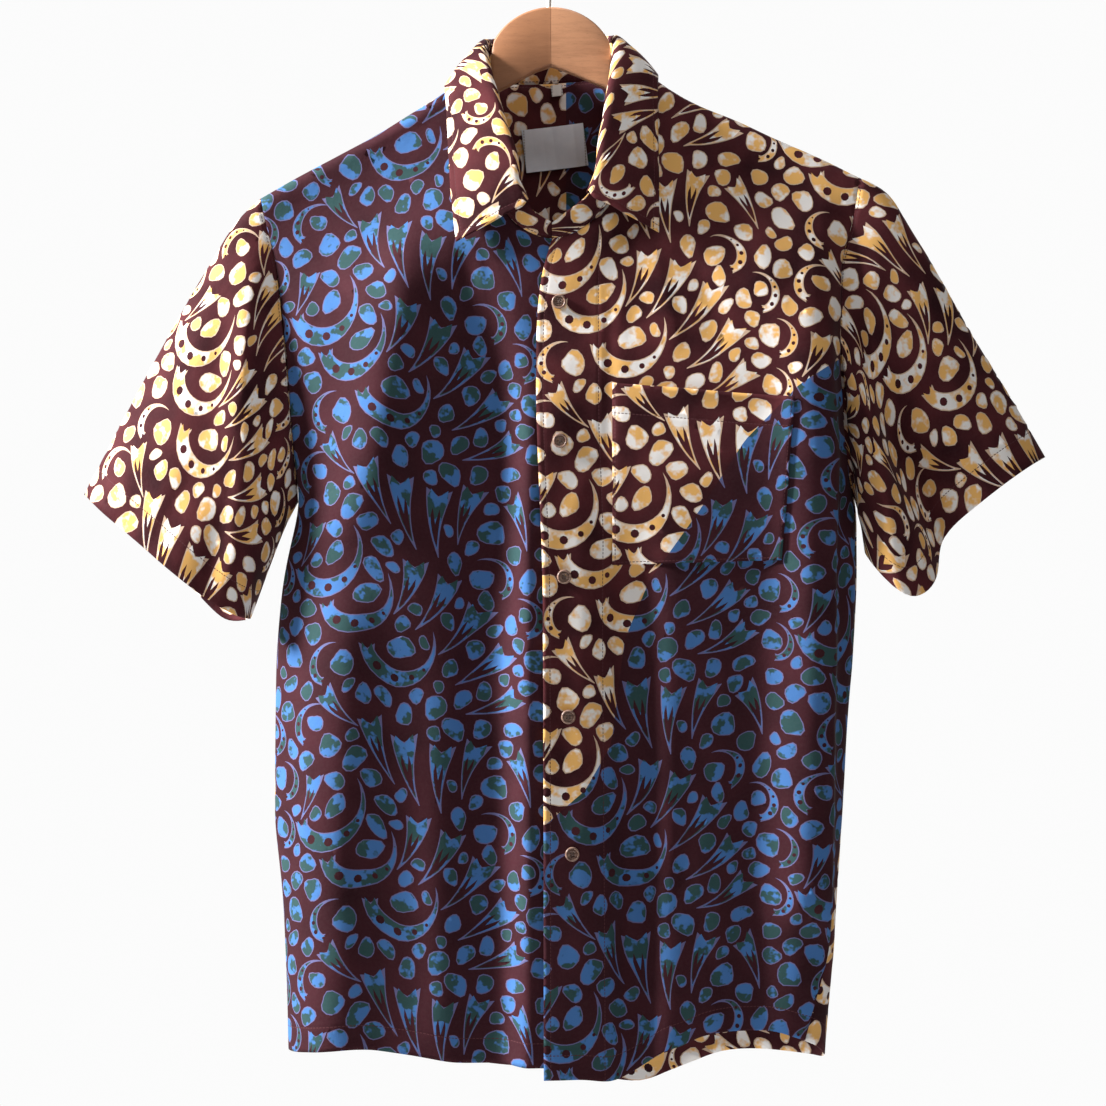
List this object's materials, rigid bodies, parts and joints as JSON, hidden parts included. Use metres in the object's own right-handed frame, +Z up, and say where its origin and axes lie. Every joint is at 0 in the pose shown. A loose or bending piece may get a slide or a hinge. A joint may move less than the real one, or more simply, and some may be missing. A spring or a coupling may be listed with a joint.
{
  "type": "short-sleeved shirt on a wooden hanger",
  "caption": "Short-sleeved button-front shirt with a turn-down collar and a chest patch pocket, buttoned and hanging open below on a wooden hanger with a steel hook.",
  "frame": {"origin": "inner top of the hanger's hook, where the rail bears", "axes": "+Z up, -Y out of the shirt's front, +X towards the wearer's left"},
  "size_m": [0.7237, 0.1214, 0.876],
  "materials": {
    "cotton_blue": "printed cotton poplin, blue colourway",
    "cotton_cream": "printed cotton poplin, cream and gold colourway",
    "satin": "bare woven satin",
    "horn": "polished resin, brown-grey",
    "wood": "lacquered beech",
    "steel": "plated wire"
  },
  "bodies": {
    "root": {"front_right": "cotton_blue", "front_left": "cotton_cream", "yoke": "cotton_cream", "back": "cotton_cream", "sleeve_right": "cotton_cream", "sleeve_left": "cotton_cream", "collar_stand": "cotton_cream", "collar_leaf": "cotton_cream", "pocket": "cotton_blue", "button_1": "horn", "button_2": "horn", "button_3": "horn", "button_4": "horn", "button_5": "horn", "neck_label": "satin", "size_tab": "satin", "hanger_wood": "wood", "hanger_hook": "steel"}
  },
  "joints": []
}
